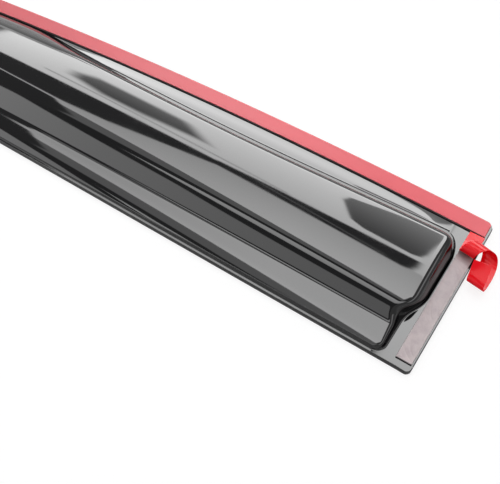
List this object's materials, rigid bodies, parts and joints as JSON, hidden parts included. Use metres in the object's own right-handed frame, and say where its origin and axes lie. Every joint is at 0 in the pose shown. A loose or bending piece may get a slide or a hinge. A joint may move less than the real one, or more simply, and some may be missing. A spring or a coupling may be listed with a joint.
{
  "type": "window rain deflector",
  "caption": "Long tinted window rain deflector with a raised two-tier body, a flat flange and foam tape strips; the liner of the end strip is half peeled and curled.",
  "frame": {"origin": "centre of the bounding box, on the plane that the flange underside rests on", "axes": "+X along the length towards the square end, +Y across the flange towards the long taped edge, +Z out of the raised face"},
  "size_m": [0.7714, 0.0996, 0.016],
  "materials": {
    "smoked_acrylic": "gloss",
    "adhesive_foam": "satin",
    "roof_liner_film": "satin",
    "end_liner_film": "gloss"
  },
  "bodies": {
    "root": {"deflector_shell": "smoked_acrylic", "roof_foam_tape": "adhesive_foam", "roof_release_liner": "roof_liner_film", "end_foam_tape": "adhesive_foam", "end_release_liner": "end_liner_film"}
  },
  "joints": []
}
